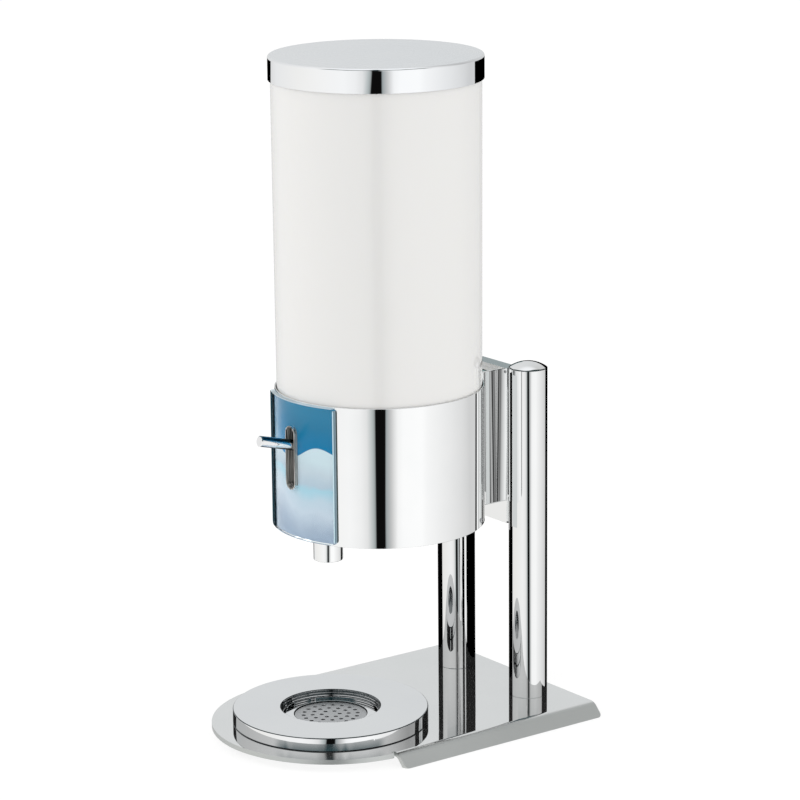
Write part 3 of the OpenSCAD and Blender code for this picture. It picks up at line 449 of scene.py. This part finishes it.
def polished_steel():
    """Polished stainless sheet, hazier than chrome, satin where it is bent down, with painted shade on
    every face that isn't level.
    """
    material, g, shader = new_material("polished_steel")
    shader.inputs["Metallic"].default_value = 0.97
    cloud = noise(g, 14.0, 4.0)
    flat = g.smooth(upward(g), 0.9, 0.99)
    level = g.ramp(cloud, [(0.3, (0.905, 0.915, 0.91)), (0.7, (0.94, 0.945, 0.94))])
    # painted shade: faces that aren't level get a darker steel colour
    bent = g.ramp(cloud, [(0.3, (0.55, 0.57, 0.56)), (0.7, (0.60, 0.62, 0.61))])
    g.put(shader.inputs["Base Color"], g.mix(flat, bent, level))
    satin = g.math("MULTIPLY", g.math("SUBTRACT", 1.0, flat), 0.35)
    g.put(shader.inputs["Roughness"], g.math("ADD", g.math("MULTIPLY", cloud, 0.05), satin))
    return material


def satin_cover():
    """Pressed tray steel: a mirror on its wall, slightly hazy on top, with a painted dark reflection on
    its round edges.
    """
    material, g, shader = new_material("tray_steel")
    shader.inputs["Metallic"].default_value = 1.0
    cloud = noise(g, 12.0, 3.0)
    level = g.ramp(cloud, [(0.3, (0.92, 0.93, 0.94)), (0.7, (0.95, 0.96, 0.965))])
    # painted reflection: the rounded edges between wall and top are coloured near black
    rim = g.between(upward(g), 0.12, 0.97, 0.12)
    g.put(shader.inputs["Base Color"], g.mix(rim, level, (0.06, 0.075, 0.08, 1.0)))
    flat = g.smooth(upward(g), 0.55, 0.8)
    haze = g.math("ADD", 0.03, g.math("MULTIPLY", cloud, 0.03))
    g.put(shader.inputs["Roughness"], g.math("MULTIPLY", flat, haze))
    return material


def lever_chrome():
    """Chrome of the lever, with painted dark reflections along its upper side and underneath."""
    material, g, shader = new_material("lever_chrome")
    shader.inputs["Metallic"].default_value = 1.0
    up = g.component(g.add("ShaderNodeNewGeometry").outputs["Normal"], "Z")
    bright, dark = (0.97, 0.975, 0.98), (0.03, 0.09, 0.12)
    # painted reflection: by how far each face looks up, bright at the sides, dark teal along the upper
    # side, lighter on top
    shade = g.ramp(up, [(0.0, bright), (0.34, bright), (0.44, (0.10, 0.22, 0.28)), (0.60, dark),
                        (0.84, dark), (0.93, (0.35, 0.50, 0.56)), (1.0, (0.80, 0.84, 0.86))])
    # painted reflection: near black underneath
    low = g.smooth(up, -0.80, -0.62)
    g.put(shader.inputs["Base Color"], g.mix(low, (0.05, 0.06, 0.07, 1.0), shade))
    haze = noise(g, 40.0, 2.0)
    g.put(shader.inputs["Roughness"], g.math("MULTIPLY", haze, 0.04))
    return material


def machined_steel():
    """Plain turned or milled steel with fine tool marks."""
    material, g, shader = new_material("machined_steel")
    shader.inputs["Metallic"].default_value = 1.0
    marks = noise(g, 700.0, 2.0)
    steel = g.ramp(marks, [(0.2, (0.52, 0.53, 0.54)), (0.8, (0.62, 0.63, 0.64))])
    g.put(shader.inputs["Base Color"], steel)
    g.put(shader.inputs["Roughness"], g.math("ADD", 0.22, g.math("MULTIPLY", marks, 0.2)))
    g.put(shader.inputs["Normal"], bump(g, marks, 0.2, 0.00002))
    return material


def opal_plastic():
    """Glossy opal plastic, slightly translucent."""
    material, g, shader = new_material("opal_plastic")
    cloud = noise(g, 6.0, 2.0)
    opal = g.ramp(cloud, [(0.3, (0.815, 0.81, 0.795)), (0.7, (0.825, 0.82, 0.805))])
    g.put(shader.inputs["Base Color"], opal)
    shader.inputs["Roughness"].default_value = 0.12
    shader.inputs["IOR"].default_value = 1.49
    shader.inputs["Coat Weight"].default_value = 0.6
    shader.inputs["Coat Roughness"].default_value = 0.03
    shader.inputs["Subsurface Weight"].default_value = 0.2
    shader.inputs["Subsurface Radius"].default_value = (0.004, 0.004, 0.0035)
    shader.inputs["Subsurface Scale"].default_value = 1.0
    return material


def plain_plastic(name, light, dark, roughness):
    material, g, shader = new_material(name)
    speckle = noise(g, 900.0, 2.0)
    g.put(shader.inputs["Base Color"], g.ramp(speckle, [(0.3, dark), (0.7, light)]))
    g.put(shader.inputs["Roughness"], g.math("ADD", roughness, g.math("MULTIPLY", speckle, 0.1)))
    g.put(shader.inputs["Normal"], bump(g, speckle, 0.15, 0.00003))
    return material


# The clear panel's thickness, and how far its back lies from the tank's axis
PANEL_T = 3.4 * MM
PANEL_BACK_R = tank_axis().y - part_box("front_panel")[0].y - PANEL_T


def clear_acrylic():
    """Clear sheet: dark teal at its left end, its cut right end in bands of painted highlight and shadow,
    and a frosted top with a painted pale highlight.
    """
    material, g, shader = new_material("clear_acrylic")
    low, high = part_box("front_panel")
    point = object_point(g)
    parts = g.add("ShaderNodeSeparateXYZ", {0: point})
    haze = noise(g, 20.0, 2.0)
    clear = g.ramp(haze, [(0.3, (0.93, 0.98, 0.985)), (0.7, (0.96, 0.995, 1.0))])
    depth = g.math("DIVIDE", g.math("SUBTRACT", axis_distance(g, point), PANEL_BACK_R), PANEL_T)
    # the cut right end in bands: painted shadow at the back, next to the housing, and a painted highlight
    # along the front corner
    sawn_edge_and_painted_light = g.ramp(depth, [
        (0.0, (0.03, 0.045, 0.045)), (0.22, (0.09, 0.12, 0.12)), (0.36, (0.30, 0.40, 0.46)),
        (0.55, (0.22, 0.30, 0.36)), (0.74, (0.10, 0.17, 0.21)), (0.86, (0.50, 0.72, 0.80)),
        (1.0, (0.70, 0.88, 0.95))])
    left = g.smooth(parts.outputs["X"], low.x + 9.6 * MM, low.x + 8.4 * MM)
    right = g.smooth(parts.outputs["X"], high.x - 0.5 * MM, high.x - 0.2 * MM)
    top = g.smooth(parts.outputs["Z"], high.z - 0.75 * MM, high.z - 0.45 * MM)
    # the left end: dark teal and nearly opaque over about its last 9 mm
    painted = g.mix(left, clear, (0.012, 0.060, 0.090, 1.0))
    colour = g.mix(right, painted, sawn_edge_and_painted_light)
    # the top edge: frosted, with a pale colour as a painted highlight
    g.put(shader.inputs["Base Color"], g.mix(top, colour, (0.72, 0.84, 0.90, 1.0)))
    covered = g.math("MAXIMUM", g.math("MULTIPLY", left, 0.92), g.math("MULTIPLY", right, 0.9))
    covered = g.math("MAXIMUM", covered, g.math("MULTIPLY", top, 0.6))
    g.put(shader.inputs["Transmission Weight"], g.math("SUBTRACT", 1.0, covered))
    g.put(shader.inputs["Roughness"], g.math("MULTIPLY", top, 0.3))
    shader.inputs["IOR"].default_value = 1.2
    return material


def wave(g, across, count, phase, size):
    """A sine wave along a value, by its angle per unit, its start and its height."""
    angle = g.math("ADD", g.math("MULTIPLY", across, count), phase)
    return g.math("MULTIPLY", g.math("SINE", angle), size)


def printed_foil():
    """Soft blue and white waves across the sheet behind the clear panel."""
    material, g, shader = new_material("printed_foil")
    low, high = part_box("panel_foil")
    parts = g.add("ShaderNodeSeparateXYZ", {0: object_point(g)})
    across = g.math("DIVIDE", parts.outputs["X"], high.x - low.x)
    up = g.math("DIVIDE", g.math("SUBTRACT", parts.outputs["Z"], low.z), high.z - low.z)
    ripple = wave(g, across, 11.0, 1.3, 0.02)
    level = g.math("ADD", g.math("ADD", up, wave(g, across, 5.2, 0.0, 0.06)), ripple)
    crest = g.math("ADD", up, g.math("ADD", wave(g, across, 6.5, 2.4, 0.04), ripple))
    cloud = g.math("MULTIPLY", g.math("SUBTRACT", noise(g, 60.0, 3.0), 0.5), 0.10)
    level = g.math("ADD", level, cloud)
    sea = g.ramp(level, [
        (0.00, (0.42, 0.51, 0.66)), (0.10, (0.50, 0.58, 0.72)), (0.24, (0.76, 0.83, 0.94)),
        (0.34, (0.70, 0.82, 0.93)), (0.42, (0.52, 0.80, 0.93)), (0.45, (0.62, 0.73, 0.84)),
        (0.54, (0.74, 0.82, 0.90)), (0.64, (0.82, 0.94, 1.0))])
    sky = g.ramp(level, [
        (0.58, (0.0, 0.28, 0.62)), (0.72, (0.0, 0.23, 0.48)), (0.88, (0.03, 0.24, 0.43)),
        (1.00, (0.045, 0.27, 0.46))])
    dusk = g.ramp(level, [
        (0.58, (0.26, 0.52, 0.70)), (0.75, (0.15, 0.36, 0.56)), (1.00, (0.20, 0.34, 0.50))])
    sky = g.mix(g.smooth(across, -0.10, -0.42), sky, dusk)
    g.put(shader.inputs["Base Color"], g.mix(g.smooth(crest, 0.630, 0.638), sea, sky))
    shader.inputs["Roughness"].default_value = 0.5
    shader.inputs["Specular IOR Level"].default_value = 0.0
    return material


def brushed_liner():
    """Brushed steel of the slot's liner, warm grey with upright streaks."""
    material, g, shader = new_material("brushed_liner")
    shader.inputs["Metallic"].default_value = 0.25
    drawn_out = g.vector("MULTIPLY", object_point(g), (1.0, 1.0, 0.04)).outputs[0]
    streaks = noise(g, 900.0, 2.0, drawn_out)
    brushed = g.ramp(streaks, [(0.38, (0.09, 0.095, 0.09)), (0.62, (0.70, 0.69, 0.66))])
    g.put(shader.inputs["Base Color"], brushed)
    g.put(shader.inputs["Roughness"], g.math("ADD", 0.40, g.math("MULTIPLY", streaks, 0.14)))
    return material


FINISHES = {
    "polished_steel": polished_steel(),
    "chrome": chrome(),
    "machined_steel": machined_steel(),
    "screw_steel": machined_steel(),
    "cast_block": chrome("cast_block", 0.95),
    "rubber": plain_plastic("rubber", (0.02, 0.02, 0.022), (0.012, 0.012, 0.014), 0.6),
    "opal_plastic": opal_plastic(),
    "clear_acrylic": clear_acrylic(),
    "printed_foil": printed_foil(),
    "white_plastic": plain_plastic("white_plastic", (0.80, 0.79, 0.76), (0.76, 0.75, 0.72), 0.35),
    "silicone": plain_plastic("silicone", (0.74, 0.73, 0.68), (0.70, 0.69, 0.64), 0.3),
    "spring_steel": machined_steel(),
}

# Nodes whose finish differs from their slot's usual one
SPECIAL_FINISHES = {
    "lid": satin_top_chrome(),
    "drip_cover": satin_cover(),
    "drip_dish": satin_cover(),
    "slot_liner": brushed_liner(),
    "carrier_plate": carrier_chrome(),
    "lever_rod": lever_chrome(),
    "column_caps": cap_chrome(),
    "column_left": chrome("column_chrome", 0.92),
    "column_right": chrome("column_chrome", 0.92),
}

# How far the sharp edges of a node are rounded, in millimetres
EDGE_ROUNDING = {
    "base_plate": 0.5, "carrier_plate": 0.8, "bracket": 0.8, "housing_shell": 0.35, "front_panel": 0.6,
    "slot_liner": 0.25, "drip_cover": 0.6, "tank": 0.6, "lid": 0.7, "spout": 0.5, "lever_rod": 0.3,
    "column_caps": 0.4, "column_left": 0.4, "column_right": 0.4, "ice_tube": 0.4, "lid_liner": 0.3,
}
USUAL_ROUNDING = 0.2
UNROUNDED = ("return_spring", "panel_foil", "silicone_hose")
SHARP = math.radians(32)                 # the least angle between faces that is rounded

# A screw's outline from its socket's floor to below the surface: shares of its radius and rise
SCREW_OUTLINE = [
    (0.42, 0.30), (0.46, 0.94), (0.60, 0.90), (0.80, 0.68), (0.94, 0.36), (1.0, 0.0), (1.0, -0.3),
]
SOCKET_FLOOR = SCREW_OUTLINE[0][1]
SCREW_RISE = 0.55                        # of its radius
SCREW_SIDES = 24
HOUSING_SCREW_R, LOCK_SCREW_R = 2.0 * MM, 1.4 * MM
HOUSING_SCREW_TURN = math.radians(36.8)  # back from the housing's widest line


def finish_cad_nodes():
    slots = {s["node"]: s["material_slot"] for s in frame["record"]["subparts"]}
    for name, node in frame["nodes"].items():
        node.data.materials.clear()
        node.data.materials.append(SPECIAL_FINISHES.get(name) or FINISHES[slots[name]])


def round_edges():
    """Breaks the sharp edges, so that they catch the light as real ones do."""
    for name, node in frame["nodes"].items():
        if name in UNROUNDED:
            continue
        weld = node.modifiers.new("weld", "WELD")
        weld.merge_threshold = 0.01 * MM
        bevel = node.modifiers.new("rounded_edges", "BEVEL")
        bevel.width = EDGE_ROUNDING.get(name, USUAL_ROUNDING) * MM
        bevel.segments = 3
        bevel.limit_method = "ANGLE"
        bevel.angle_limit = SHARP
        bevel.use_clamp_overlap = True
        node.modifiers.new("shading", "WEIGHTED_NORMAL")


def make_screw(name, place, outward, radius):
    """A button-head screw with a round socket, standing on a surface."""
    rise = SCREW_RISE * radius
    turns = [2 * math.pi * i / SCREW_SIDES for i in range(SCREW_SIDES)]
    vertices = [(0.0, 0.0, SOCKET_FLOOR * rise)]
    for across, up in SCREW_OUTLINE:
        ring = [(across * radius * math.cos(a), across * radius * math.sin(a), up * rise) for a in turns]
        vertices += ring
    rings = [range(1 + k * SCREW_SIDES, 1 + (k + 1) * SCREW_SIDES) for k in range(len(SCREW_OUTLINE))]
    pairs = [(i, (i + 1) % SCREW_SIDES) for i in range(SCREW_SIDES)]
    faces = [(0, rings[0][i], rings[0][j]) for i, j in pairs]
    for inner, outer in zip(rings, rings[1:]):
        faces += [(inner[i], outer[i], outer[j], inner[j]) for i, j in pairs]
    faces.append(tuple(reversed(rings[-1])))
    mesh = bpy.data.meshes.new(name)
    mesh.from_pydata(vertices, [], faces)
    mesh.materials.append(FINISHES["screw_steel"])
    screw = bpy.data.objects.new(name, mesh)
    screw.location = place
    screw.rotation_euler = outward.to_track_quat("Z", "Y").to_euler()
    bpy.context.scene.collection.objects.link(screw)
    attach(screw, "stand")


def make_screws():
    """Screws low on the housing's flanks, and small ones that lock the carrier to its columns."""
    low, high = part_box("housing_shell")
    middle, radius = (low + high) / 2, (high.x - low.x) / 2
    carrier_low, carrier_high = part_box("carrier_plate")
    turn = HOUSING_SCREW_TURN
    for side, name in ((-1, "left"), (1, "right")):
        outward = Vector((side * math.cos(turn), math.sin(turn), 0.0))
        place = Vector((middle.x, middle.y, low.z + 5.5 * MM)) + outward * radius
        make_screw("housing_screw_" + name, place, outward, HOUSING_SCREW_R)
        place = Vector((side * (carrier_high.x - 1.7 * MM), carrier_low.y, carrier_high.z - 3.0 * MM))
        make_screw("lock_screw_" + name, place, Vector((0.0, -1.0, 0.0)), LOCK_SCREW_R)


def make_spring():
    """The lever's return spring as a piece of its own."""
    spring = bpy.data.objects.new("return_coil", frame["nodes"]["return_spring"].data.copy())
    bpy.context.scene.collection.objects.link(spring)
    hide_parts("return_spring")
    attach(spring, "stand")
    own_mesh(spring)


finish_cad_nodes()
round_edges()
make_screws()
make_spring()
make_world()
make_floor()
make_cards()
make_lights()
make_camera()
bpy.context.scene.view_settings.view_transform = "Standard"
